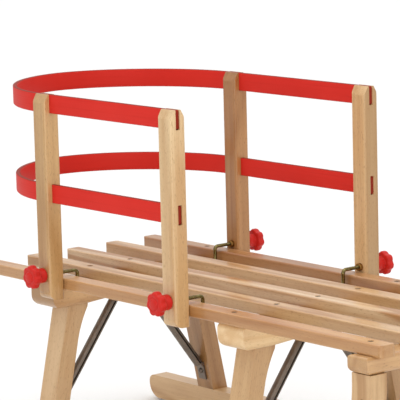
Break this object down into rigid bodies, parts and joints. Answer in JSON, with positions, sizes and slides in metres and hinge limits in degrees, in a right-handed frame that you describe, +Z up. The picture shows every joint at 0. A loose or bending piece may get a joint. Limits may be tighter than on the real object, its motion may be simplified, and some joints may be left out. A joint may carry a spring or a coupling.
{
  "type": "slatted wooden toboggan with child backrest",
  "caption": "Slatted wooden runner sled with splayed legs, steel shoes and struts, and a clamp-on child's backrest of square posts, red bent bands and star knobs.",
  "frame": {"origin": "on the ground, on the centre line, midway along the whole length", "axes": "+X to the sled's front, +Y to its left side, +Z up"},
  "size_m": [0.823, 0.4032, 0.488],
  "materials": {
    "slat_wood": "clear lacquered beech",
    "frame_wood": "clear lacquered beech",
    "runner_wood": "clear lacquered ash",
    "post_wood": "clear lacquered beech",
    "red_band": "bent wood, satin red paint",
    "red_knob": "moulded plastic",
    "shoe_steel": "rolled strip",
    "strut_steel": "dark grey coated steel",
    "screw_steel": "dark screw steel",
    "bush_brass": "turned",
    "hook_zinc": "yellow zinc plate"
  },
  "bodies": {
    "sled": {"slat_right_outer": "slat_wood", "slat_right_inner": "slat_wood", "slat_middle": "slat_wood", "slat_left_inner": "slat_wood", "slat_left_outer": "slat_wood", "yoke_rear": "frame_wood", "yoke_front": "frame_wood", "crossbar": "frame_wood", "leg_rear_right": "frame_wood", "leg_rear_left": "frame_wood", "leg_front_right": "frame_wood", "leg_front_left": "frame_wood", "runner_right": "runner_wood", "runner_left": "runner_wood", "shoe_right": "shoe_steel", "shoe_left": "shoe_steel", "strut_rear_right": "strut_steel", "strut_rear_left": "strut_steel", "strut_front_right": "strut_steel", "strut_front_left": "strut_steel", "slat_screws": "screw_steel", "shoe_screws": "screw_steel", "strut_screws": "screw_steel"},
    "backrest": {"post_rear_right": "post_wood", "post_rear_left": "post_wood", "post_front_right": "post_wood", "post_front_left": "post_wood", "band_upper": "red_band", "band_lower": "red_band", "guide_bushes": "bush_brass"},
    "hook_rear_right_bolt": {"hook_rear_right": "hook_zinc"},
    "knob_rear_right_grip": {"knob_rear_right": "red_knob"},
    "hook_rear_left_bolt": {"hook_rear_left": "hook_zinc"},
    "knob_rear_left_grip": {"knob_rear_left": "red_knob"},
    "hook_front_right_bolt": {"hook_front_right": "hook_zinc"},
    "knob_front_right_grip": {"knob_front_right": "red_knob"},
    "hook_front_left_bolt": {"hook_front_left": "hook_zinc"},
    "knob_front_left_grip": {"knob_front_left": "red_knob"}
  },
  "joints": [
    {"name": "backrest_slide", "type": "slide", "parent": "sled", "child": "backrest", "axis": [1, 0, 0], "range_m": [-0.008, 0.045]},
    {"name": "knob_rear_right_turn", "type": "hinge", "parent": "backrest", "child": "knob_rear_right_grip", "pos_m": [-0.2135, -0.1886, 0.2465], "axis": [0, -1, 0], "range_deg": [-1350, 810]},
    {"name": "hook_rear_right_travel", "type": "slide", "parent": "backrest", "child": "hook_rear_right_bolt", "axis": [0, 1, 0], "range_m": [-0.003, 0.0018]},
    {"name": "knob_rear_left_turn", "type": "hinge", "parent": "backrest", "child": "knob_rear_left_grip", "pos_m": [-0.2135, 0.1886, 0.2465], "axis": [0, 1, 0], "range_deg": [-1350, 810]},
    {"name": "hook_rear_left_travel", "type": "slide", "parent": "backrest", "child": "hook_rear_left_bolt", "axis": [0, -1, 0], "range_m": [-0.003, 0.0018]},
    {"name": "knob_front_right_turn", "type": "hinge", "parent": "backrest", "child": "knob_front_right_grip", "pos_m": [0.0515, -0.1886, 0.2465], "axis": [0, -1, 0], "range_deg": [-1350, 810]},
    {"name": "hook_front_right_travel", "type": "slide", "parent": "backrest", "child": "hook_front_right_bolt", "axis": [0, 1, 0], "range_m": [-0.003, 0.0018]},
    {"name": "knob_front_left_turn", "type": "hinge", "parent": "backrest", "child": "knob_front_left_grip", "pos_m": [0.0515, 0.1886, 0.2465], "axis": [0, 1, 0], "range_deg": [-1350, 810]},
    {"name": "hook_front_left_travel", "type": "slide", "parent": "backrest", "child": "hook_front_left_bolt", "axis": [0, -1, 0], "range_m": [-0.003, 0.0018]}
  ],
  "couplings": [
    {"joint": "hook_rear_right_travel", "follows": "knob_rear_right_turn", "m_per_rad": 0.00012732},
    {"joint": "hook_rear_left_travel", "follows": "knob_rear_left_turn", "m_per_rad": 0.00012732},
    {"joint": "hook_front_right_travel", "follows": "knob_front_right_turn", "m_per_rad": 0.00012732},
    {"joint": "hook_front_left_travel", "follows": "knob_front_left_turn", "m_per_rad": 0.00012732}
  ]
}
